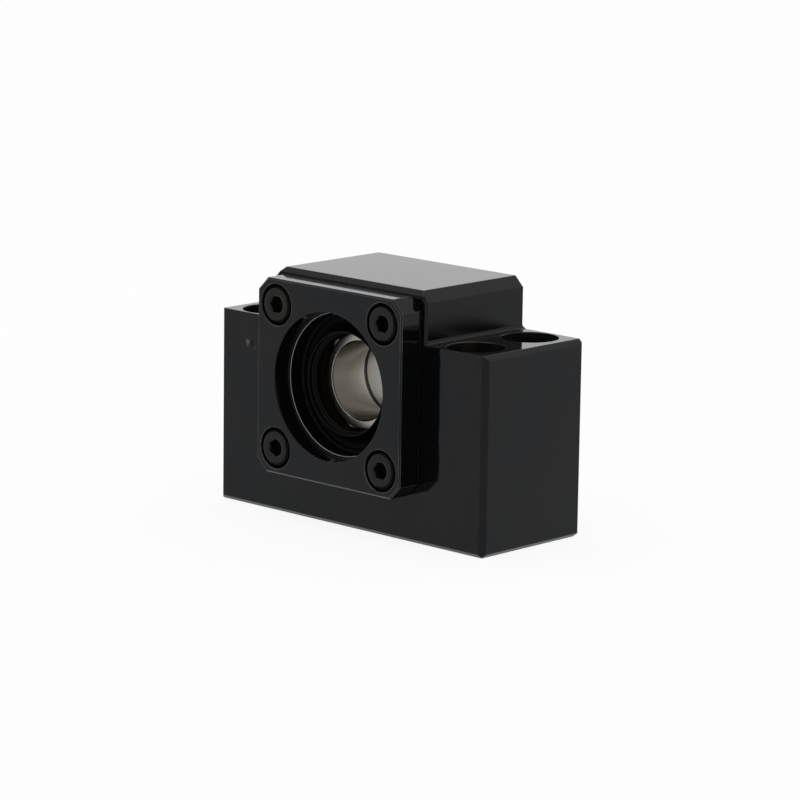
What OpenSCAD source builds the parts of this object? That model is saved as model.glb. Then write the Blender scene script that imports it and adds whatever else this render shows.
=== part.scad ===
// Fixed-side end support for a ball screw. A ground steel block with a raised centre holds a
// pair of angular contact bearings, and a square cover with four cap screws clamps them from
// the front. The journal of the screw goes through the inner rings.
// Frame, in millimetres: the origin is on the base, at the centre of the four mounting bolts.
// X runs across the block, Y along the shaft from the cover to the rear, and Z is up.

/* [Bearings] */
// Diameter of the journal that the bearings carry
shaft_d = 15; // [13:0.5:17]
// Outer diameter of each bearing
bearing_od = 32; // [30:0.5:36]
// Width of each bearing
bearing_w = 9; // [8:0.5:11]
// Diameter of the balls
ball_d = 4.762; // [4:0.05:5]
// Balls in each bearing
ball_count = 12; // [8:1:12]
// Contact angle of the bearings
contact_angle = 30; // [15:5:40]
// Height of the high shoulder beside each ball groove
race_shoulder = 0.83; // [0.6:0.05:1]
// Height of the low shoulder beside each ball groove
race_lip = 0.15; // [0.1:0.05:0.3]
// Corner chamfer of the rings
ring_chamfer = 0.45; // [0.3:0.05:0.6]
// Wall of the ball cages
cage_wall = 2.15; // [1.8:0.05:2.2]
// Distance from the side faces of a bearing to its cage
cage_inset = 0.6; // [0.3:0.1:1]

/* [Housing block] */
// Height of the shaft axis above the base
shaft_h = 28; // [26:0.5:36]
// Wall beside the bearing seat in the raised centre
centre_wall = 4; // [3.5:0.1:6]
// Height of the shoulders above the base
shoulder_h = 38; // [32:0.5:41]
// Wall between the bearings and the rear face
rear_wall = 5.5; // [4.75:0.25:8]
// Chamfer along the two sides of the raised top
crown_chamfer = 2; // [1:0.1:3]
// Chamfer of the front edge of the raised top
front_chamfer = 1.3; // [0.6:0.1:1.8]
// Chamfer along the outer top edges of the shoulders
shoulder_chamfer = 0.9; // [0.4:0.1:1.5]
// Chamfer of the outer upright edges at the front
upright_chamfer = 1.1; // [0.5:0.1:1.6]
// Chamfer of the front upright edges of the raised centre
wall_chamfer = 0.4; // [0.2:0.1:0.9]
// Small chamfer around the rear face
rear_chamfer = 0.3; // [0.1:0.1:0.6]
// Chamfer around the base
base_chamfer = 0.75; // [0.3:0.05:1.5]
// Fillet where the raised centre meets the shoulders
root_fillet = 0.9; // [0.4:0.1:1.2]

/* [Mounting holes] */
// Distance from the raised centre to the axes of the bolts
bolt_offset = 7; // [6.5:0.1:9]
// Distance from the axes of the bolts to the sides of the block
bolt_side = 8; // [7:0.5:14]
// Distance from the axes of the bolts to the end faces of the block
bolt_end = 6; // [6:0.1:8]
// Diameter of the bolt holes
bolt_hole_d = 6.6; // [5.5:0.1:7]
// Diameter of the counterbores for the bolt heads
bolt_head_d = 11; // [9.5:0.1:11]
// Depth of the counterbores for the bolt heads
bolt_head_h = 6.5; // [4:0.5:12]

/* [Cover] */
// Distance from the cover to the edges of the raised centre
cover_margin = 1.1; // [0.5:0.1:1.5]
// Thickness of the cover plate
cover_t = 5.5; // [5.5:0.1:9]
// Chamfer at the four corners of the cover
cover_corner = 2.5; // [1:0.1:3]
// Small chamfer around the edges of the cover
cover_edge = 0.3; // [0.1:0.1:0.5]
// Finer chamfer at the mouths of its bores and of all counterbores
mouth_chamfer = 0.1; // [0.05:0.05:0.2]
// Length of the spigot that clamps the bearings
spigot_l = 3.5; // [3.5:0.25:6]
// Wall of the spigot around the seal
spigot_wall = 2.35; // [1.8:0.05:2.5]
// Width of the step between the recess for the nut and the seal bore
recess_step = 0.6; // [0.5:0.05:1]
// Depth of the recess for the nut
recess_depth = 3.75; // [2.5:0.05:4]

/* [Cover screws] */
// Distance from the edges of the cover to the axes of its screws
screw_inset = 5; // [4.8:0.1:5.2]
// Thread diameter of the cover screws
screw_d = 4; // [3:0.5:4]
// Length of the screws under the head
screw_l = 12; // [8:1:16]
// Diameter of the screw heads
head_d = 7; // [6:0.1:7.2]
// Height of the screw heads
head_h = 4; // [3:0.1:4.2]
// Width across the flats of the hexagon sockets
hex_af = 3; // [2.5:0.1:3.2]
// Depth of the hexagon sockets
hex_depth = 2.2; // [1.5:0.1:2.4]
// Diameter of the counterbores for the screw heads
head_bore_d = 8; // [7.6:0.1:8.2]

/* [Seals and collar] */
// Width of the seal bodies
seal_w = 2.7; // [2.2:0.1:3]
// Distance from the back of a seal to the tip of its lip
lip_reach = 4.1; // [3.6:0.1:4.3]
// Width of the ledge between each seal and the bearings
seal_ledge = 0.75; // [0.5:0.05:1]
// Wall of the collar that runs in the rear seal
collar_wall = 2.5; // [2:0.1:2.7]
// Distance that the collar stands out of the rear face
collar_out = 0.5; // [0.2:0.1:1]

/* [Hidden] */
$fn = 96;
cut = 0.5;              // overshoot of the cutting bodies
race_gap = 0.03;        // between ball and groove where they carry
pocket_gap = 0.1;       // around each ball in its cage
cage_gap = 0.15;        // between cage and outer ring
groove_fit = 0.52;      // groove radius as a share of the ball's diameter
seat_gap = 0.01;        // around what is seated in a bore
lip_gap = 0.05;         // between seal lip and collar
ledge_step = 1.25;      // height of the ledges behind the seals
thread_gap = 0.05;      // around the screw threads
clear_gap = 0.25;       // around the screws in the cover
tapped_spare = 1.5;     // of thread in the block beyond the end of each screw
dent_d = 1.1;           // small dent under the front left bolt head
dent_depth = 0.18;

// The bearings meet at joint_y, and each mirrored piece is placed by its distance from there.
body_l = spigot_l + 2 * bearing_w + rear_wall;
front_y = -body_l / 2;
joint_y = front_y + spigot_l + bearing_w;
centre_w = bearing_od + 2 * centre_wall;
top_h = shaft_h + centre_w / 2;
bolt_x = centre_w / 2 + bolt_offset;
body_w = 2 * (bolt_x + bolt_side);
bolt_y = body_l / 2 - bolt_end;

ball_r = ball_d / 2;
pitch_r = (shaft_d + bearing_od) / 4;
groove_r = groove_fit * ball_d;
groove_shift = groove_r - ball_r - race_gap;
inner_high_r = pitch_r - ball_r + race_shoulder;
inner_low_r = pitch_r - ball_r + race_lip;
outer_high_r = pitch_r + ball_r - race_shoulder;
outer_low_r = pitch_r + ball_r - race_lip;
cage_r = outer_high_r - cage_gap;

seat_r = bearing_od / 2 + seat_gap;
seal_r = bearing_od / 2 - spigot_wall;
ledge_r = seal_r - ledge_step;
collar_r = shaft_d / 2 + collar_wall;
lip_r = collar_r + lip_gap;
seal_at = bearing_w + seal_ledge;

cover_w = centre_w - 2 * cover_margin;
screw_at = cover_w / 2 - screw_inset;
under_head_y = front_y - cover_t + head_h;
tapped_l = under_head_y + screw_l - front_y + tapped_spare;

function two_digits(i) = str(i < 10 ? "0" : "", i);
function ball_name(side, i) = str(side, "_ball_", two_digits(i));

// Places children whose own z axis is the shaft axis, with z counted along +Y.
module on_shaft() {
    translate([0, 0, shaft_h]) rotate([-90, 0, 0]) children();
}

// The same from the joint between the bearings outwards, towards the cover or the rear.
module outwards(side) {
    on_shaft() translate([0, 0, joint_y]) mirror([0, 0, side == "front" ? 1 : 0]) children();
}

// Round cutter along the shaft from y0 to y1.
module shaft_bore(r, y0, y1) {
    on_shaft() translate([0, 0, y0]) cylinder(r = r, h = y1 - y0);
}

// Short cone that breaks the edge of a bore of radius r on the face y; dir points into the bore.
module bore_break(r, y, size, dir) {
    on_shaft() translate([0, 0, y]) mirror([0, 0, dir < 0 ? 1 : 0])
        translate([0, 0, -cut]) cylinder(r1 = r + size + cut, r2 = r, h = size + cut);
}

// Bar with a diamond section: subtracted along an edge it leaves a chamfer.
module edge_bar(length, size) {
    linear_extrude(height = length, center = true)
        rotate(45) square(size * sqrt(2), center = true);
}

// Children at the four cover screws, with their z axis along the shaft.
module at_screws() {
    for (x = [-screw_at, screw_at], z = [-screw_at, screw_at])
        translate([x, 0, shaft_h + z]) rotate([-90, 0, 0]) children();
}

// ---- Housing ----

// Front view of the block, with the chamfers that run from front to rear.
module block_section() {
    half = body_w / 2;
    mid = centre_w / 2;
    difference() {
        union() {
            polygon([[-half, base_chamfer], [-half + base_chamfer, 0],
                     [half - base_chamfer, 0], [half, base_chamfer],
                     [half, shoulder_h - shoulder_chamfer],
                     [half - shoulder_chamfer, shoulder_h],
                     [-half + shoulder_chamfer, shoulder_h],
                     [-half, shoulder_h - shoulder_chamfer]]);
            polygon([[-mid, shaft_h], [mid, shaft_h], [mid, top_h - crown_chamfer],
                     [mid - crown_chamfer, top_h], [-mid + crown_chamfer, top_h],
                     [-mid, top_h - crown_chamfer]]);
            translate([-mid - root_fillet, shoulder_h - cut])
                square([centre_w + 2 * root_fillet, root_fillet + cut]);
        }
        for (side = [-1, 1])
            translate([side * (mid + root_fillet), shoulder_h + root_fillet])
                circle(r = root_fillet);
    }
}

// Bars along the edges of one end face: the raised top, its upright edges, the outer upright
// edges and the base. The edges across the shoulders stay sharp.
module end_face_bars(top_size, wall_size, side_size) {
    mid = centre_w / 2;
    translate([0, 0, top_h]) rotate([0, 90, 0]) edge_bar(centre_w, top_size);
    rotate([0, 90, 0]) edge_bar(body_w + 2, base_chamfer);
    for (side = [-1, 1]) {
        translate([side * (mid - crown_chamfer / 2), 0, top_h - crown_chamfer / 2])
            rotate([0, 90 + side * 45, 0]) edge_bar(crown_chamfer * 2, wall_size);
        translate([side * mid, 0, (shoulder_h + top_h) / 2])
            edge_bar(top_h - shoulder_h, wall_size);
        translate([side * body_w / 2, 0, shoulder_h / 2])
            edge_bar(shoulder_h + 2, side_size);
    }
}

// Counterbored hole for a mounting bolt, with its mouth at z = 0.
module mounting_hole() {
    mouth_r = bolt_head_d / 2 + mouth_chamfer;
    translate([0, 0, -shoulder_h - cut]) cylinder(d = bolt_hole_d, h = shoulder_h + cut);
    translate([0, 0, -bolt_head_h]) cylinder(d = bolt_head_d, h = bolt_head_h);
    translate([0, 0, -mouth_chamfer])
        cylinder(r1 = bolt_head_d / 2, r2 = mouth_r, h = mouth_chamfer);
    cylinder(r = mouth_r, h = root_fillet + cut);
}

// Shallow round dent in the thin wall in front of the left counterbore.
module dent() {
    dent_r = (pow(dent_d / 2, 2) + pow(dent_depth, 2)) / (2 * dent_depth);
    translate([-bolt_x, front_y + dent_depth - dent_r, shoulder_h - bolt_head_h + 0.6 * dent_d])
        sphere(r = dent_r);
}

module housing() {
    rear_y = front_y + body_l;
    seat_y = joint_y + bearing_w;
    color("dimgray") difference() {
        translate([0, body_l / 2, 0]) rotate([90, 0, 0])
            linear_extrude(height = body_l) block_section();
        translate([0, front_y, 0]) end_face_bars(front_chamfer, wall_chamfer, upright_chamfer);
        translate([0, rear_y, 0]) end_face_bars(rear_chamfer, rear_chamfer, rear_chamfer);
        shaft_bore(seat_r, front_y - cut, seat_y);
        shaft_bore(ledge_r, seat_y - cut, rear_y + cut);
        shaft_bore(seal_r + seat_gap, joint_y + seal_at, rear_y + cut);
        bore_break(seal_r + seat_gap, rear_y, mouth_chamfer, -1);
        for (x = [-bolt_x, bolt_x], y = [-bolt_y, bolt_y])
            translate([x, y, shoulder_h]) mounting_hole();
        at_screws() translate([0, 0, front_y - cut])
            cylinder(d = screw_d + 2 * thread_gap, h = tapped_l + cut);
        dent();
    }
}

// ---- Bearing cover and its screws ----

module cover_outline() {
    half = cover_w / 2;
    flat = half - cover_corner;
    polygon([[-flat, -half], [flat, -half], [half, -flat], [half, flat],
             [flat, half], [-flat, half], [-half, flat], [-half, -flat]]);
}

module bearing_cover() {
    face_y = front_y - cover_t;
    end_y = front_y + spigot_l;
    step_y = face_y + recess_depth;
    bore_r = seal_r + seat_gap;
    half = cover_w / 2;
    color("dimgray") difference() {
        union() {
            on_shaft() translate([0, 0, face_y])
                linear_extrude(height = cover_t) cover_outline();
            shaft_bore(seat_r - seat_gap, front_y - cut, end_y);
        }
        for (turn = [0:90:270], y = [face_y, front_y])
            on_shaft() translate([0, 0, y]) rotate(turn) {
                translate([half, 0, 0]) rotate([90, 0, 0]) edge_bar(cover_w, cover_edge);
                rotate(45) translate([sqrt(2) * (half - cover_corner / 2), 0, 0])
                    rotate([90, 0, 0]) edge_bar(2 * cover_corner, cover_edge);
            }
        shaft_bore(bore_r + recess_step, face_y - cut, step_y);
        shaft_bore(bore_r, face_y, joint_y - seal_at);
        shaft_bore(ledge_r, face_y, end_y + cut);
        bore_break(bore_r + recess_step, face_y, mouth_chamfer, 1);
        bore_break(bore_r, step_y, mouth_chamfer, 1);
        at_screws() {
            translate([0, 0, face_y - cut]) cylinder(d = head_bore_d, h = head_h + cut);
            translate([0, 0, face_y - cut])
                cylinder(r1 = head_bore_d / 2 + mouth_chamfer + cut, r2 = head_bore_d / 2,
                         h = mouth_chamfer + cut);
            translate([0, 0, face_y]) cylinder(d = screw_d + 2 * clear_gap, h = cover_t + cut);
        }
    }
}

// Hexagon socket cap screw with its head at z = 0 and its shank along +z.
module cap_screw() {
    head_break = 0.3;
    tip_break = 0.6;
    length = head_h + screw_l;
    hex_r = hex_af / sqrt(3);
    mouth = hex_r - hex_af / 2;
    difference() {
        rotate_extrude() polygon([
            [0, 0], [head_d / 2 - head_break, 0], [head_d / 2, head_break],
            [head_d / 2, head_h], [screw_d / 2, head_h], [screw_d / 2, length - tip_break],
            [screw_d / 2 - tip_break, length], [0, length]]);
        translate([0, 0, -cut]) cylinder(r = hex_r, h = hex_depth + cut, $fn = 6);
        translate([0, 0, -cut]) cylinder(r1 = hex_r + cut, r2 = hex_r - mouth, h = mouth + cut);
        translate([0, 0, hex_depth]) cylinder(r1 = hex_af / 2 - mouth / 2, r2 = 0, h = 2 * mouth);
    }
}

module cover_screws() {
    color("dimgray") at_screws() translate([0, 0, front_y - cover_t]) cap_screw();
}

// ---- Bearings: z = 0 is the face where the two bearings meet ----

// Square cutter that chamfers the corner of a ring's section at [r, z].
module corner_cut(r, z, size) {
    translate([r, z]) rotate(45) square(size * sqrt(2), center = true);
}

module outer_ring(side) {
    ring_r = bearing_od / 2;
    color("lightgray") outwards(side) rotate_extrude() difference() {
        translate([outer_high_r, 0]) square([ring_r - outer_high_r, bearing_w]);
        translate([outer_high_r - cut, -cut])
            square([outer_low_r - outer_high_r + cut, bearing_w / 2 + cut]);
        translate([pitch_r - groove_shift * cos(contact_angle),
                   bearing_w / 2 - groove_shift * sin(contact_angle)]) circle(r = groove_r);
        for (z = [0, bearing_w]) corner_cut(ring_r, z, ring_chamfer);
        corner_cut(outer_high_r, bearing_w, ring_chamfer / 2);
    }
}

module inner_ring(side) {
    color("silver") outwards(side) rotate_extrude() difference() {
        union() {
            translate([shaft_d / 2, 0]) square([inner_high_r - shaft_d / 2, bearing_w / 2]);
            translate([shaft_d / 2, 0]) square([inner_low_r - shaft_d / 2, bearing_w]);
        }
        translate([pitch_r + groove_shift * cos(contact_angle),
                   bearing_w / 2 + groove_shift * sin(contact_angle)]) circle(r = groove_r);
        corner_cut(shaft_d / 2, 0, ring_chamfer);
        corner_cut(shaft_d / 2, bearing_w, ring_chamfer * 2 / 3);
        corner_cut(inner_low_r, bearing_w, ring_chamfer);
        corner_cut(inner_high_r, 0, ring_chamfer / 2);
    }
}

// Machined cage: a plain ring with one radial hole for each ball.
module cage(side) {
    color("saddlebrown") outwards(side) difference() {
        rotate_extrude() translate([cage_r - cage_wall, cage_inset])
            square([cage_wall, bearing_w - 2 * cage_inset]);
        for (i = [1:ball_count]) rotate(i * 360 / ball_count)
            translate([pitch_r - ball_d, 0, bearing_w / 2]) rotate([0, 90, 0])
                cylinder(r = ball_r + pocket_gap, h = 2 * ball_d);
    }
}

module ball(side, i) {
    color("gainsboro") outwards(side) rotate(i * 360 / ball_count)
        translate([pitch_r, 0, bearing_w / 2]) sphere(r = ball_r);
}

// ---- Seals and collar ----

// Rubber seal: a rim in the bore, a round groove, a long lip that points outwards and a short
// one behind it, drawn as shares of the gap that it closes. z = 0 is the back of the seal.
module seal(side) {
    gap = seal_r - lip_r;
    root = lip_r + 0.25 * gap;
    groove = 0.29 * gap;
    groove_at = seal_r - 0.24 * gap - groove;
    floor_z = seal_w - groove;
    tip = 0.3;
    color("black") outwards(side) translate([0, 0, seal_at]) rotate_extrude() union() {
        difference() {
            translate([root, 0]) square([seal_r - root, seal_w]);
            translate([groove_at, seal_w]) circle(r = groove);
            translate([root - cut, floor_z]) square([groove_at - root + cut, groove + cut]);
            corner_cut(seal_r, seal_w, tip / 2);
            corner_cut(seal_r, 0, tip);
        }
        polygon([[root, floor_z / 2], [groove_at, floor_z / 2], [groove_at, floor_z + tip / 4],
                 [lip_r + tip, lip_reach], [lip_r, lip_reach - tip / 2]]);
        polygon([[root + tip / 2, floor_z / 4], [root + tip / 2, floor_z * 0.8],
                 [lip_r + tip, floor_z], [lip_r + tip, floor_z - tip * 0.6]]);
    }
}

module rear_collar() {
    length = rear_wall + collar_out;
    bore_r = shaft_d / 2;
    color("silver") outwards("rear") translate([0, 0, bearing_w]) rotate_extrude() difference() {
        translate([bore_r, 0]) square([collar_wall, length]);
        for (r = [bore_r, collar_r], z = [0, length]) corner_cut(r, z, ring_chamfer);
    }
}

housing();
bearing_cover();
cover_screws();
seal("front");  // front_seal
seal("rear");  // rear_seal
outer_ring("front");  // front_outer_ring
outer_ring("rear");  // rear_outer_ring
inner_ring("front");  // front_inner_ring
inner_ring("rear");  // rear_inner_ring
cage("front");  // front_cage
cage("rear");  // rear_cage
rear_collar();
for (i = [1:ball_count]) {
    ball("front", i);
    ball("rear", i);
}
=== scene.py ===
"""Looks of the ball screw end support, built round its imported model: a black steel block with
a square cover, four cap screws, two lip seals and a pair of angular contact bearings."""

import math

import bpy
import numpy as np
from mathutils import Matrix, Vector


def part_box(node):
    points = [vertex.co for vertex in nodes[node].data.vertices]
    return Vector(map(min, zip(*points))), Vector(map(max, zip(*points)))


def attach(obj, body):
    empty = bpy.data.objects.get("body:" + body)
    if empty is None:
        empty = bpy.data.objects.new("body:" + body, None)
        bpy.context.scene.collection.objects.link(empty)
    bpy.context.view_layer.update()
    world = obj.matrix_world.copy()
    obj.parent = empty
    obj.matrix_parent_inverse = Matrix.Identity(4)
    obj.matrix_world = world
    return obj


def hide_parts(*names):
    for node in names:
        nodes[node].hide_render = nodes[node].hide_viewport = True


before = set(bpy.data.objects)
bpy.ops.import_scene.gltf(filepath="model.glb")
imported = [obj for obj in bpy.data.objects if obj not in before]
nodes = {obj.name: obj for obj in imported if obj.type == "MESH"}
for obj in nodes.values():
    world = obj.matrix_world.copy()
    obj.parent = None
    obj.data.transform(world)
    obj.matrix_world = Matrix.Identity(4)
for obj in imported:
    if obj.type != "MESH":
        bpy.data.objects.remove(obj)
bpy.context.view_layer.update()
mm = 0.001

# ---- Camera ----
# A long lens, about two thirds of a metre away, a little above the block and to the right of
# its front.
turn, rise, tilt = math.radians(43.482), math.radians(11.504), math.radians(-0.827)
aim = Vector((57.082, -59.358, 39.718)) * mm
distance = 643.21 * mm
sensor_width, focal_length = 36, 170.67
nearest, farthest = 0.05, 50
back = Vector((math.sin(turn) * math.cos(rise), -math.cos(turn) * math.cos(rise), math.sin(rise)))
level = Vector((math.cos(turn), math.sin(turn), 0))
upright = back.cross(level)
across = math.cos(tilt) * level - math.sin(tilt) * upright
upwards = math.sin(tilt) * level + math.cos(tilt) * upright
lens = bpy.data.cameras.new("camera")
lens.sensor_width = sensor_width
lens.lens = focal_length
lens.clip_start = nearest
lens.clip_end = farthest
camera = bpy.data.objects.new("camera", lens)
camera.matrix_world = (
    Matrix.Translation(aim + back * distance)
    @ Matrix((across, upwards, back)).transposed().to_4x4()
)
bpy.context.scene.collection.objects.link(camera)
bpy.context.scene.camera = camera
bpy.context.scene.view_settings.view_transform = "Standard"


# ---- White table and light ----
# A white table under the block and an even white tent round it, with one soft lamp overhead
# and one behind, which the level faces mirror.
class Wire:
    """A socket of a shader. Sums written on it in Python add the Math nodes for the same sum."""

    def __init__(self, tree, socket=None):
        self.tree, self.socket = tree, socket

    def node(self, kind, links=None, out=0, **settings):
        """Any other node: its settings first, a ramp's stops among them, then its inputs."""
        made = self.tree.nodes.new("ShaderNode" + kind)
        stops = settings.pop("stops", None)
        for name, value in settings.items():
            setattr(made, name, value)
        if stops:
            marks = made.color_ramp.elements
            while len(marks) < len(stops):
                marks.new(0.5)
            for mark, (where, value) in zip(marks, stops):
                mark.position = where
                mark.color = (value, value, value, 1)
        for name, value in (links or {}).items():
            if isinstance(value, Wire):
                self.tree.links.new(made.inputs[name], value.socket)
            else:
                made.inputs[name].default_value = value
        return Wire(self.tree, made.outputs[out] if made.outputs else None)

    def sum(self, operation, *terms, clamp=False):
        """One Math node on these terms."""
        return self.node("Math", dict(enumerate(terms)), operation=operation, use_clamp=clamp)

    def __add__(self, other):
        return self.sum("ADD", self, other)

    def __radd__(self, other):
        return self.sum("ADD", other, self)

    def __sub__(self, other):
        return self.sum("SUBTRACT", self, other)

    def __rsub__(self, other):
        return self.sum("SUBTRACT", other, self)

    def __mul__(self, other):
        return self.sum("MULTIPLY", self, other)

    def __rmul__(self, other):
        return self.sum("MULTIPLY", other, self)

    def __truediv__(self, other):
        return self.sum("DIVIDE", self, other)

    def __abs__(self):
        return self.sum("ABSOLUTE", self)


def seen_white(wire):
    """1 for the rays that show the background: seen directly, in gloss or through glass."""
    rays = [
        wire.node("LightPath", out="Is %s Ray" % name)
        for name in ("Camera", "Glossy", "Transmission")
    ]
    return rays[0].sum("ADD", rays[0] + rays[1], rays[2], clamp=True)


pure_white, table_white = (1, 1, 1, 1), (0.9, 0.9, 0.9, 1)
table_glow = 0.9
table_paint = bpy.data.materials.new("white_table")
table_paint.use_nodes = True
table_paint.node_tree.nodes.clear()
paint = Wire(table_paint.node_tree)
diffuse = paint.node("BsdfDiffuse", {"Color": table_white})
glow = paint.node("Emission", {"Color": pure_white, "Strength": 1.0})
painted = paint.node("MixShader", {0: seen_white(paint) * table_glow, 1: diffuse, 2: glow})
paint.node("OutputMaterial", {"Surface": painted})

half, gap = 6.0, 0.05 * mm
table_mesh = bpy.data.meshes.new("table")
table_mesh.from_pydata(
    [(-half, -half, 0), (half, -half, 0), (half, half, 0), (-half, half, 0)], [], [(0, 1, 2, 3)]
)
table_mesh.materials.append(table_paint)
table = bpy.data.objects.new("table", table_mesh)
table.location.z = -gap
bpy.context.scene.collection.objects.link(table)

tent_light, tent_seen = 0.75, 1.0
tent = bpy.data.worlds.new("tent")
bpy.context.scene.world = tent
tent.use_nodes = True
tent.node_tree.nodes.clear()
air = Wire(tent.node_tree)
light = air.node("Background", {"Color": pure_white, "Strength": tent_light})
white = air.node("Background", {"Color": pure_white, "Strength": tent_seen})
either = air.node("MixShader", {0: seen_white(air), 1: light, 2: white})
air.node("OutputWorld", {"Surface": either})


def soft_lamp(name, stand, size, watts):
    """A square soft lamp of that size in metres, which faces the block from where it stands."""
    lamp = bpy.data.lights.new(name, "AREA")
    lamp.shape, lamp.size, lamp.energy = "SQUARE", size, watts
    made = bpy.data.objects.new(name, lamp)
    made.location = stand
    made.rotation_euler = (-Vector(stand)).to_track_quat("-Z", "Y").to_euler()
    made.visible_camera = False
    bpy.context.scene.collection.objects.link(made)


soft_lamp("lamp_overhead", stand=(-0.2, -0.1, 1.2), size=1.0, watts=4.0)
soft_lamp("lamp_behind", stand=(-1.0, 1.05, 0.62), size=1.0, watts=0.6)

# ---- Housing ----
# One block of steel, milled, ground on its outer faces and blackened in a hot salt bath, then
# oiled. The grinding leaves fine lines, and the edges wear to a brighter grey.
micron = 0.001 * mm
oxide_black, oxide_brown = (0.0023, 0.0026, 0.0031), (0.0046, 0.0032, 0.0038)
oxide_shine = {"IOR": 1.27, "Specular_Tint": (0.92, 0.96, 1.0, 1)}
bare_steel = (0.36, 0.35, 0.33)
# The dull film paints shade on the block and the cover, and is old oil as well on the bearing
# rings.
film_colour, film_roughness = (0.011, 0.0085, 0.007, 1), 0.5
bore_black, bore_brown = (0.0050, 0.0048, 0.0048), (0.0125, 0.0102, 0.0080)
bolt_x, bolt_y, bolt_r = 27.0 * mm, 7.5 * mm, 5.52 * mm
bolt_reach = 10 * mm
dent_x, dent_z = -27.0 * mm, 32.16 * mm
# Radii of the painted shadow in the dent, and of its painted highlight and the nick beside it.
shade_r, highlight_and_nick_r = 0.9 * mm, 0.55 * mm
spot_reach = 100 * mm
# The corner beside the cover that painted shade darkens, and its share.
corner_y, corner_z, corner_shade = -13.6 * mm, 46.5 * mm, 0.85
line_depth, slow_depth, short_depth = 0.12 * micron, 100 * micron, 22 * micron
block_edge, worn_edge, block_wear, edge_samples = 0.25 * mm, 0.16 * mm, 0.11, 6


def surface(name, colour, roughness, relief=None, metallic=None, film=None, edge=0, **constants):
    """A solid material from its base colour, roughness, relief in metres and share of bare
    metal, each a function of the shader, with plain sockets besides. Where film goes to 1, a
    dull dark film hides all of it: painted shade, and old oil as well on the bearing rings.
    Sharp edges look rounded to the radius edge."""
    made = bpy.data.materials.new(name)
    made.use_nodes = True
    made.node_tree.nodes.clear()
    wire = Wire(made.node_tree)
    links = {"Base Color": colour(wire), "Roughness": roughness(wire)}
    links.update({socket.replace("_", " "): value for socket, value in constants.items()})
    if metallic:
        links["Metallic"] = metallic(wire)
    if relief:
        bump = {"Height": relief(wire), "Strength": 1.0, "Distance": 1.0}
        if edge:
            bump["Normal"] = wire.node("Bevel", {"Radius": edge}, samples=edge_samples)
        links["Normal"] = wire.node("Bump", bump)
    shader = wire.node("BsdfPrincipled", links)
    if film:
        dull = wire.node("BsdfDiffuse", {"Color": film_colour, "Roughness": film_roughness})
        shader = wire.node("MixShader", {0: film(wire), 1: shader, 2: dull})
    wire.node("OutputMaterial", {"Surface": shader})
    return made


def parts_of(wire, vector):
    """The three numbers of a vector."""
    return [wire.node("SeparateXYZ", {"Vector": vector}, out=axis) for axis in "XYZ"]


def place(wire):
    """The x, y and z of the point on the piece, in metres."""
    return parts_of(wire, wire.node("TexCoord", out="Object"))


def facing(wire, axis):
    """How squarely the surface faces along an axis of the block, from 0 to 1."""
    normal = parts_of(wire, wire.node("TexCoord", out="Normal"))
    return abs(normal["XYZ".index(axis)])


def grain(wire, scale, detail=2.0, stretch=(1, 1, 1), offset=(0, 0, 0)):
    """Noise from 0 to 1 with that many features per metre, drawn out by the stretch."""
    point = wire.node("TexCoord", out="Object")
    moved = wire.node("Mapping", {"Vector": point, "Scale": stretch, "Location": offset})
    return wire.node(
        "TexNoise", {"Vector": moved, "Scale": scale, "Detail": detail, "Roughness": 0.55}
    )


def ramp(wire, value, *stops):
    """A value from 0 to 1 led in straight lines from stop to stop, each (value, result). A
    distance is divided by a reach first, to come between 0 and 1."""
    return wire.node("ValToRGB", {"Fac": value}, stops=stops)


def colour_mix(wire, share, first, second):
    """Two colours mixed by a share from 0 to 1, with the colour sockets of the Mix node."""
    made = wire.tree.nodes.new("ShaderNodeMix")
    made.data_type = "RGBA"
    for number, value in ((0, share), (6, first), (7, second)):
        if isinstance(value, Wire):
            wire.tree.links.new(made.inputs[number], value.socket)
        else:
            made.inputs[number].default_value = (*value, 1) if number else value
    return Wire(wire.tree, made.outputs[2])


def spots(wire, centres, radius):
    """The share at each centre (x, z, share), fading out at that radius, on the front alone:
    all of it where y is under -10 mm and nothing where y is over 0."""
    x, y, z = place(wire)
    found = 0.0
    for at_x, at_z, share in centres:
        beside, above = x - at_x, z - at_z
        near = wire.sum("SQRT", beside * beside + above * above) / radius
        found = found + ramp(wire, near, (0.35, share), (1.0, 0.0))
    return found * ramp(wire, y / spot_reach + 0.5, (0.4, 1.0), (0.5, 0.0))


def rubbed(wire, width, share):
    """Where an edge is worn through the oxide: the surface direction averaged over a ball of
    that radius turns away from the true one near an edge, in broken lengths."""
    averaged = wire.node("Bevel", {"Radius": width}, samples=edge_samples)
    true = wire.node("NewGeometry", out="Normal")
    turned = 1.0 - wire.node(
        "VectorMath", {0: averaged, 1: true}, operation="DOT_PRODUCT", out="Value"
    )
    lengths = ramp(wire, grain(wire, 260, 3), (0.35, 0.35), (0.65, 1.0))
    return ramp(wire, turned, (0.008, 0.0), (0.09, share)) * lengths


def oxide_colour(wire, bare, oily, oil):
    """Blue-black with faint brown clouds, as the salt bath leaves it, over which come the old
    oil in the bores and the bare steel."""
    clouds = ramp(wire, grain(wire, 55, 4), (0.46, 0.0), (0.72, 1.0))
    bath = colour_mix(wire, clouds, oxide_black, oxide_brown)
    return colour_mix(wire, bare, colour_mix(wire, oily, bath, oil), bare_steel)


def oxide_relief(wire):
    """Grinding lines across the block, and the slow and short waves that the wheel leaves,
    which are ten times as deep on the faces that look along the shaft."""
    lines = grain(wire, 1400, 2, (0.03, 3, 3))
    slow, short = grain(wire, 110, 1, (1, 1, 0.8)), grain(wire, 330, 2, (1, 1, 0.7))
    waves = (slow * slow_depth + short * short_depth) * (0.1 + facing(wire, "Y") * 0.9)
    return lines * line_depth + waves


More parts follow.
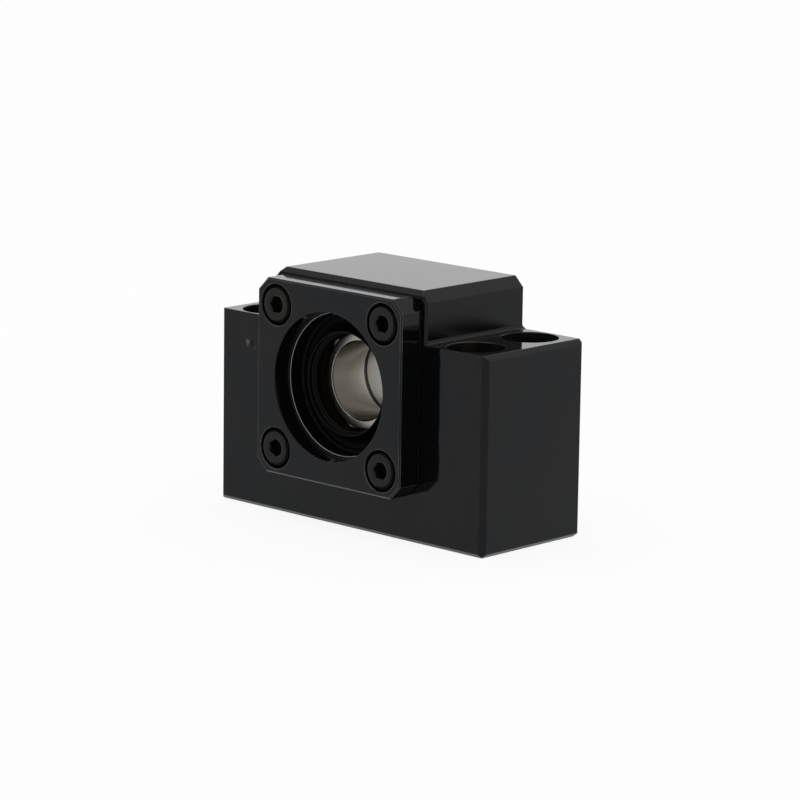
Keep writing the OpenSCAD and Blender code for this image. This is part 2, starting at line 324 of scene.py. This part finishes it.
def ground_roughness(wire, offset=(0, 0, 0)):
    """Ground smooth, with fine lines and faint smears of oil."""
    smoothest, by_lines, by_smears = 0.04, 0.06, 0.04
    lines = grain(wire, 500, 3, (0.04, 3, 3))
    smears = ramp(wire, grain(wire, 60, 3, offset=offset), (0.5, 0.0), (0.75, 1.0))
    return smoothest + lines * by_lines + smears * by_smears


def to_bolt(wire):
    """Distance from the axis of the nearest mounting bolt hole, in metres."""
    x, y, _ = place(wire)
    beside, along = abs(x) - bolt_x, abs(y) - bolt_y
    return wire.sum("SQRT", beside * beside + along * along)


def bolt_bores(wire):
    """1 inside the four counterbores."""
    return ramp(wire, to_bolt(wire) / bolt_reach, (0.55, 1.0), (0.56, 0.0))


def bore_oil(wire):
    """Brown and black blotches of oil on the cut walls of the counterbores."""
    blotches = ramp(wire, grain(wire, 300, 2), (0.42, 0.0), (0.60, 1.0))
    return colour_mix(wire, blotches, bore_black, bore_brown)


def housing_shade_film(wire):
    """Painted shade as a dull dark film, in the corner between the cover and the chamfer along
    the front of the raised top, and in the shaded side of the dent."""
    _, y, z = place(wire)
    low = ramp(wire, (z - corner_z) / mm, (0.0, 0.0), (0.1, 1.0), (0.50, 1.0), (0.68, 0.0))
    front = ramp(wire, (y - corner_y) / mm, (0.50, 1.0), (0.68, 0.0))
    # A painted shadow on the right side of the dent.
    shade = spots(wire, [(dent_x + shade_r, dent_z - 0.1 * mm, 0.6)], shade_r)
    return wire.sum("MAXIMUM", low * front * corner_shade, shade)


def housing_bare(wire):
    """Rubbed edges, the rims of the counterbores in broken lengths, specks, bare metal that
    paints the highlight in the small dent in front of the left bolt hole, and a nick beside it."""
    # The first two spots are bare metal that paints the dent's highlight; the third is a nick.
    dent_highlight_and_nick = [
        (dent_x - 0.35 * mm, dent_z + 0.1 * mm, 0.26),
        (dent_x - 0.25 * mm, dent_z - 0.5 * mm, 0.10),
        (dent_x + 1.75 * mm, dent_z - 0.8 * mm, 0.05),
    ]
    specks = ramp(wire, grain(wire, 420, 2), (0.77, 0.0), (0.84, 0.02))
    rims = ramp(wire, abs(to_bolt(wire) - bolt_r) / mm, (0.06, 0.5), (0.16, 0.0))
    lengths = ramp(wire, grain(wire, 120, 2), (0.4, 0.1), (0.6, 1.0))
    edges = rubbed(wire, worn_edge, block_wear)
    worn = wire.sum("MAXIMUM", edges, rims * lengths * facing(wire, "Z"))
    return wire.sum("MAXIMUM", worn, spots(wire, dent_highlight_and_nick, highlight_and_nick_r) + specks)


def housing_roughness(wire):
    """Ground on the front and the top, rougher where the cutter left the side walls and in the
    bores."""
    by_cutter, by_drill = 0.14, 0.06
    walls = ramp(wire, facing(wire, "X"), (0.6, 0.0), (0.9, 1.0))
    return ground_roughness(wire) + walls * by_cutter + bolt_bores(wire) * by_drill


def dress(node, material):
    """Gives a CAD node its finish."""
    nodes[node].data.materials.clear()
    nodes[node].data.materials.append(material)


oxide_steel = surface(
    "black_oxide_steel",
    lambda wire: oxide_colour(wire, housing_bare(wire), bolt_bores(wire), bore_oil(wire)),
    housing_roughness,
    relief=oxide_relief,
    metallic=housing_bare,
    film=housing_shade_film,
    edge=block_edge,
    **oxide_shine,
)
dress("housing", oxide_steel)

# ---- Bearings ----
# A pair of angular contact bearings pushed into the block, and the collar behind them: rings of
# through-hardened steel, ground and honed all over, lapped balls, and cages machined from
# fabric-reinforced resin, dark with oil.
ring_low, ring_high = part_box("front_inner_ring")
axis_z = (ring_low[2] + ring_high[2]) / 2
front_y, joint_y, bore_r = ring_low[1], ring_high[1], 7.5 * mm
reach = 20 * mm
steel_dark, steel_light = (0.465, 0.438, 0.396), (0.500, 0.470, 0.425)
# The darker grey paints shade on the rear ring, and darkens the faces that look along the shaft.
steel_darker = (0.275, 0.258, 0.236)
resin_dark, resin_light = (0.0080, 0.0062, 0.0048), (0.0200, 0.0150, 0.0105)


def from_axis(wire):
    """Distance from the shaft axis, in metres."""
    x, _, z = place(wire)
    up = z - axis_z
    return wire.sum("SQRT", x * x + up * up)


def mottled(wire, scale, detail, first, second, stretch=(1, 1, 1)):
    """Two colours in soft patches, with that many to the metre."""
    return colour_mix(wire, grain(wire, scale, detail, stretch), first, second)


def oil_and_shade_film(wire):
    """Old oil and painted shade on the chamfers of the bore. At the joint of the rings, a groove
    where shade falls, and at the rear end it is darkest along both their edges. At the front end
    it is darkest in the middle, and rubbed off beside the face."""
    _, y, _ = place(wire)
    out = (from_axis(wire) - bore_r) / mm
    deep = ramp(
        wire, out, (0.01, 0.0), (0.02, 1.0), (0.16, 0.9), (0.33, 0.86), (0.40, 1.0), (0.47, 0.0)
    )
    front = ramp(
        wire, out, (0.01, 0.0), (0.02, 0.75), (0.09, 0.75), (0.11, 1.0), (0.23, 1.0), (0.25, 0.0)
    )
    at_front = ramp(wire, (y - front_y) / reach, (0.10, 1.0), (0.15, 0.0))
    film = front * at_front + deep * (1.0 - at_front)
    return film * ramp(wire, facing(wire, "Y"), (0.80, 1.0), (0.90, 0.0))


def ring_colour(wire):
    """Clean steel of a warm grey, darker with painted shade from the joint to the rear, and
    darker on the faces that look along the shaft."""
    _, y, _ = place(wire)
    # Painted shade from the joint to the rear.
    behind = ramp(wire, (y - joint_y) / reach, (0.0, 0.0), (0.02, 1.0))
    steel = mottled(wire, 160, 2, steel_dark, steel_light, stretch=(1, 3, 1))
    duller = wire.sum("MAXIMUM", behind, facing(wire, "Y") * 0.7)
    return colour_mix(wire, duller, steel, steel_darker)


bearing_steel = surface(
    "bearing_steel",
    ring_colour,
    lambda wire: 0.20 + grain(wire, 900, 2, (1, 6, 1)) * 0.04 + facing(wire, "Y") * 0.06,
    relief=lambda wire: grain(wire, 1500, 2, (1, 6, 1)) * (0.1 * micron),
    # The film is old oil, with painted shade in the groove at the joint.
    metallic=lambda wire: 1.0 - oil_and_shade_film(wire) * 0.2,
    film=lambda wire: oil_and_shade_film(wire) * 0.97,
    edge=0.08 * mm,
)
for node in nodes:
    if node.endswith("_ring") or "_ball_" in node or node == "rear_collar":
        dress(node, bearing_steel)

cage_resin = surface(
    "cage_resin",
    lambda wire: mottled(wire, 600, 3, resin_dark, resin_light),
    lambda wire: 0.3 + grain(wire, 2500, 2) * 0.1,
    IOR=1.25,
)
dress("front_cage", cage_resin)
dress("rear_cage", cage_resin)

# ---- Bearing cover ----
# A square plate of the same blackened steel, turned with its spigot in one piece and ground on
# the front. The spigot clamps the bearings. Its outer edges and the step in its bore are rubbed.
face_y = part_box("bearing_cover")[0][1]
step_r, step_y = 13.70 * mm, face_y + 3.72 * mm
cover_edge, cover_wear = 0.2 * mm, 0.6
# Where painted shade darkens the top of the cover beside the block.
cover_shade_y, cover_shade_z, cover_shade_reach = -16.0 * mm, 46.0 * mm, 3 * mm
oil_brown = (0.0050, 0.0040, 0.0034)


def in_the_bore(wire):
    """1 on the walls of the recess and the seal bore."""
    return ramp(wire, from_axis(wire) / reach, (0.7125, 0.5), (0.7135, 0.0))


def cover_bare(wire):
    """Rubbed outer edges, and the step in the bore, which is rubbed bright."""
    _, y, _ = place(wire)
    out, along = from_axis(wire) - step_r, y - step_y
    step = wire.sum("SQRT", out * out + along * along) / mm
    bright = ramp(wire, step, (0.06, 0.7), (0.14, 0.0))
    lengths = ramp(wire, grain(wire, 55, 2), (0.35, 0.35), (0.6, 1.0))
    outer = ramp(wire, from_axis(wire) / reach, (0.74, 0.12), (0.84, 1.0))
    return wire.sum("MAXIMUM", rubbed(wire, cover_edge, cover_wear) * lengths * outer, bright)


def cover_shade_film(wire):
    """Painted shade along the top of the cover, beside the block."""
    _, y, z = place(wire)
    beside = ramp(wire, (y - cover_shade_y) / cover_shade_reach, (0.25, 0.0), (0.45, 0.35), (0.8, 0.75))
    top = ramp(wire, (z - cover_shade_z) / mm, (0.5, 0.0), (0.6, 1.0))
    return beside * top


cover_steel = surface(
    "cover_black_oxide",
    lambda wire: oxide_colour(wire, cover_bare(wire), in_the_bore(wire), oil_brown),
    lambda wire: ground_roughness(wire, offset=(3, 1, 2)),
    relief=oxide_relief,
    metallic=cover_bare,
    film=cover_shade_film,
    edge=cover_edge,
    **oxide_shine,
)
dress("bearing_cover", cover_steel)

# ---- Cover screws ----
# Four M4 cap screws of class 12.9 steel, cold headed, rolled and blackened: a knurled head, a
# hexagon socket with a drill point, and a rolled thread up to a short plain neck.
screw_low, screw_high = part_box("cover_screws")
screw_length = screw_high[1] - screw_low[1]
head_r, head_h, head_edge, shank_r = 3.5 * mm, 4.0 * mm, 0.46 * mm, 2.0 * mm
screw_x = screw_high[0] - head_r
socket_af, socket_depth = 3.0 * mm, 2.2 * mm
knurl_depth, knurl_ridges = 0.06 * mm, 36
neck, tip = head_h + 0.6 * mm, 0.6 * mm
pitch, thread_depth = 0.7 * mm, 0.42 * mm
thread_step = pitch / 7


def screw_finish(name, darkest, lightest, roughness, spread, depth, shine):
    """Black oxide on a rolled skin, from its two colours, its roughness and how far that
    spreads, the depth of its fine pits, and its shine as an index of refraction."""
    return surface(
        name,
        lambda wire: mottled(wire, 1500, 3, darkest, lightest),
        lambda wire: roughness + grain(wire, 2500, 2) * spread,
        relief=lambda wire: grain(wire, 2600, 2) * depth,
        IOR=shine,
    )


def skin(name, points, material, ends="capped"):
    """A closed surface through a grid of points: rows along a profile, columns round an axis.
    Each cell becomes a four-sided face. The first and last rows join up when ends is "joined",
    and otherwise each is closed by a fan to its own middle point. The faces are turned round
    if the volume, from the sum of corner . (next corner x the one after it), is negative."""
    rows, columns = points.shape[:2]
    index = np.arange(rows * columns).reshape(rows, columns)
    if ends == "joined":
        index = np.vstack((index, index[:1]))
    beside = np.roll(index, -1, axis=1)
    quads = np.stack((index[:-1], beside[:-1], beside[1:], index[1:]), axis=-1).reshape(-1, 4)
    vertices = points.reshape(-1, 3)
    fans = []
    if ends == "capped":
        first, last = rows * columns, rows * columns + 1
        vertices = np.vstack((vertices, points[0].mean(axis=0), points[-1].mean(axis=0)))
        fans = [
            np.stack((beside[0], index[0], np.full(columns, first)), axis=-1),
            np.stack((index[-1], beside[-1], np.full(columns, last)), axis=-1),
        ]
    corner = vertices[quads]
    volume = np.einsum("ij,ij->i", corner[:, 0], np.cross(corner[:, 1], corner[:, 2])).sum()
    volume += np.einsum("ij,ij->i", corner[:, 0], np.cross(corner[:, 2], corner[:, 3])).sum()
    faces = [quads] + fans
    if volume < 0:
        faces = [part[:, ::-1] for part in faces]
    mesh = bpy.data.meshes.new(name)
    mesh.from_pydata(vertices.tolist(), [], [face for part in faces for face in part.tolist()])
    mesh.polygons.foreach_set("use_smooth", np.ones(len(mesh.polygons), dtype=bool))
    mesh.materials.append(material)
    made = bpy.data.objects.new(name, mesh)
    bpy.context.scene.collection.objects.link(made)
    return made


def cap_screw(name, x, z, turned):
    """Rows of rings along the screw, each with its own radius for every angle: the drill point,
    the socket as a hexagon, apothem / cos of the angle from the middle of its flat, the face,
    an edge as a quarter of a circle, a knurl as a fine wave round the head, and the thread as a
    blunt wave in depth / pitch - angle / 360 degrees that fades out at the neck and the tip."""
    angle = np.linspace(0, 2 * np.pi, 4 * knurl_ridges, endpoint=False)
    even = np.ones_like(angle)
    hexagon = socket_af / 2 / np.cos((angle - turned) % (np.pi / 3) - np.pi / 6)
    corner_r = socket_af / math.sqrt(3)
    knurl = knurl_depth * (1 - np.cos(knurl_ridges * angle)) / 2
    # The drill point, and the floor and the walls of the socket.
    rings = [
        (0.3 * socket_af * even, socket_depth + 0.35 * mm),
        (0.47 * socket_af * even, socket_depth + 0.05 * mm),
        (hexagon - 0.03 * mm, socket_depth),
        (hexagon, socket_depth - 0.1 * mm),
        (hexagon, 0.22 * mm),
    ]
    mouth = len(rings) - 1
    # The worn mouth of the socket and the flat face round it.
    rings += [
        (hexagon + 0.03 * mm, 0.15 * mm),
        (np.maximum(hexagon + 0.08 * mm, corner_r), 0.05 * mm),
        (corner_r * 1.04 * even, 0.0),
        (corner_r * 1.2 * even, 0.0),
        ((head_r - head_edge) * 0.97 * even, 0.0),
    ]
    rim = len(rings) - 1
    # The rounded edge, the knurled side, and the back of the head down to the neck.
    for bend in np.linspace(0, 1, 6) * np.pi / 2:
        out, deep = head_edge * np.sin(bend), head_edge * np.cos(bend)
        rings.append(((head_r - head_edge + out) * even, head_edge - deep))
    for depth in (head_edge + 0.1 * mm, head_h / 2, head_h - 0.35 * mm):
        rings.append((head_r - knurl, depth))
    rings += [
        (head_r * even, head_h - 0.2 * mm),
        ((head_r - 0.15 * mm) * even, head_h),
        ((shank_r + 0.15 * mm) * even, head_h),
        (shank_r * even, head_h + 0.15 * mm),
        (shank_r * even, neck),
    ]
    # The thread and the tip.
    for depth in np.arange(neck + thread_step, screw_length - tip, thread_step):
        turns = depth / pitch - angle / (2 * np.pi)
        wave = np.abs(2 * (turns % 1) - 1)
        blunt = np.clip(wave * 1.25 - 0.12, 0, 1)
        fade = min(1.0, (depth - neck) / pitch, (screw_length - tip - depth) / pitch + 0.3)
        rings.append((shank_r - thread_depth * fade * blunt, depth))
    rings += [
        ((shank_r - 0.4 * mm) * even, screw_length - tip),
        ((shank_r - tip - 0.1 * mm) * even, screw_length),
        (0.4 * mm * even, screw_length),
    ]
    radius = np.array([ring for ring, _ in rings])
    depth = np.array([row for _, row in rings])[:, None] * even
    points = np.stack(
        (x + radius * np.cos(angle), screw_low[1] + depth, z + radius * np.sin(angle)), axis=-1
    )
    made = skin(name, points, screw_black)
    made.data.materials.append(screw_shaded)
    # Painted shade, with the darker, duller copy: in the socket, from the edge back, and on the
    # lower right part of the edge too.
    count = len(made.data.polygons)
    row = np.arange(count) // angle.size
    lower_right = np.cos(np.resize(angle, count) + 0.7) > 0.4
    dull = (row < mouth) | (row > rim + 1) | (row >= rim) & lower_right
    made.data.polygons.foreach_set("material_index", dull.astype(np.int32))
    return made


screw_black = screw_finish(
    "screw_black",
    darkest=(0.0030, 0.0030, 0.0028),
    lightest=(0.0085, 0.0078, 0.0062),
    roughness=0.12,
    spread=0.16,
    depth=4.0 * micron,
    shine=1.25,
)
# A darker, duller copy of the screw finish, which paints shade.
screw_shaded = screw_finish(
    "screw_shaded_black",
    darkest=(0.0022, 0.0020, 0.0020),
    lightest=(0.0060, 0.0046, 0.0040),
    roughness=0.4,
    spread=0.2,
    depth=2.0 * micron,
    shine=1.1,
)

# Each head stopped at its own angle when it was tightened.
for name, side, height, degrees in (
    ("cover_screw_top_left", -1, 1, 0),
    ("cover_screw_top_right", 1, 1, -5),
    ("cover_screw_bottom_left", -1, -1, 30),
    ("cover_screw_bottom_right", 1, -1, -5),
):
    screw = cap_screw(name, side * screw_x, axis_z + height * screw_x, math.radians(degrees))
    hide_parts("cover_screws")
    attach(screw, "housing")

# ---- Seals ----
# Two moulded nitrile rings, pressed last into the cover and into the rear of the block. Each has
# a rim, a deep round groove, a long lip that points outwards and a short one behind it.
seal_back = (joint_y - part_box("front_seal")[1][1]) / mm
seal_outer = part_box("front_seal")[1][0] / mm
rim_edge, long_edge, short_edge = 13.12, 9.86, 9.3
rubber_black, rubber_grey = (0.0024, 0.0024, 0.0024), (0.0046, 0.0044, 0.0040)
# The grey of the painted highlights on the edges of the seals.
highlight_grey = (0.016, 0.016, 0.015)
arc_steps, seal_columns = 5, 192


def rounded(corners):
    """The corners (radius, depth, rounding) as a smooth loop: each corner gives way to an arc
    that leaves its two sides at the distance given by the rounding, along
    (1 - t)^2 a + 2 t (1 - t) corner + t^2 b."""
    corners = np.array(corners, dtype=float)
    point, size = corners[:, :2], corners[:, 2:]

    def towards(other):
        """The points at the rounding's distance from each corner, on the way to another one."""
        way = other - point
        return point + way / np.linalg.norm(way, axis=1, keepdims=True) * size

    start, end = towards(np.roll(point, 1, axis=0)), towards(np.roll(point, -1, axis=0))
    t = np.linspace(0, 1, arc_steps)[None, :, None]
    arcs = (1 - t) ** 2 * start[:, None] + 2 * t * (1 - t) * point[:, None] + t**2 * end[:, None]
    return arcs.reshape(-1, 2)


def seal_profile(long_lip, short_lip):
    """The section of a seal in millimetres, from the radii of its two lips: up the outside of
    the rim, down into the groove, out along the long lip to its tip, back under it to the tip of
    the short lip, and in to the back of the web that joins them."""
    rim = [
        (seal_outer, seal_back, 0.25),
        (seal_outer, seal_back + 1.85, 0.1),
        (seal_outer - 0.5, seal_back + 1.85, 0.2),
    ]
    groove = [
        (seal_outer - 0.62, seal_back + 1.2, 0.3),
        (seal_outer - 1.0, seal_back + 0.7, 0.4),
        (seal_outer - 2.2, seal_back + 0.55, 0.5),
    ]
    outer_lip = [
        (long_lip + 1.2, seal_back + 1.1, 0.5),
        (long_lip + 0.5, seal_back + 3.3, 0.2),
        (long_lip + 0.28, seal_back + 3.5, 0.08),
        (long_lip, seal_back + 3.45, 0.08),
        (long_lip + 0.35, seal_back + 2.6, 0.3),
    ]
    inner_lip = [
        (short_lip + 0.35, seal_back + 2.15, 0.12),
        (short_lip, seal_back + 2.0, 0.08),
        (short_lip + 0.15, seal_back + 1.6, 0.1),
    ]
    web = [(long_lip + 0.9, seal_back + 0.6, 0.3), (long_lip + 1.0, seal_back, 0.2)]
    return rounded(rim + groove + outer_lip + inner_lip + web)


def revolve(name, profile, material, side):
    """The profile of (radius, depth) in millimetres carried round the shaft axis, with depth
    counted from the joint of the bearings towards the cover (side -1) or the rear (side 1)."""
    angle = np.linspace(0, 2 * np.pi, seal_columns, endpoint=False)
    radius, depth = profile[:, :1] * mm, profile[:, 1:] * mm
    points = np.stack(
        (
            radius * np.cos(angle),
            joint_y + side * depth * np.ones_like(angle),
            axis_z + radius * np.sin(angle),
        ),
        axis=-1,
    )
    return skin(name, points, material, ends="joined")


def painted_edge_highlights(wire):
    """Painted highlights on the rim and the tips of both lips, within 0.07 mm of three radii in
    millimetres."""
    radius = from_axis(wire) / mm
    found = 0.0
    for edge in (rim_edge, long_edge, short_edge):
        found = found + ramp(wire, abs(radius - edge), (0.03, 1.0), (0.07, 0.0))
    return found


def rubber_colour(wire):
    """Black rubber with painted highlights on its edges."""
    black = mottled(wire, 2500, 3, rubber_black, rubber_grey)
    return colour_mix(wire, painted_edge_highlights(wire), black, highlight_grey)


seal_rubber = surface(
    "seal_rubber",
    rubber_colour,
    lambda wire: 0.30 + grain(wire, 2500, 2) * 0.15,
    relief=lambda wire: grain(wire, 2800, 3) * (4.0 * micron),
    IOR=1.10,
)

# The collar spreads the lips of the rear seal. Those of the front one stand free, because its
# collar comes with the screw.
for name, side, long_lip, short_lip in (("front", -1, 9.78, 9.3), ("rear", 1, 10.06, 10.06)):
    seal = revolve(name + "_seal_rubber", seal_profile(long_lip, short_lip), seal_rubber, side)
    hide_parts(name + "_seal")
    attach(seal, "housing")
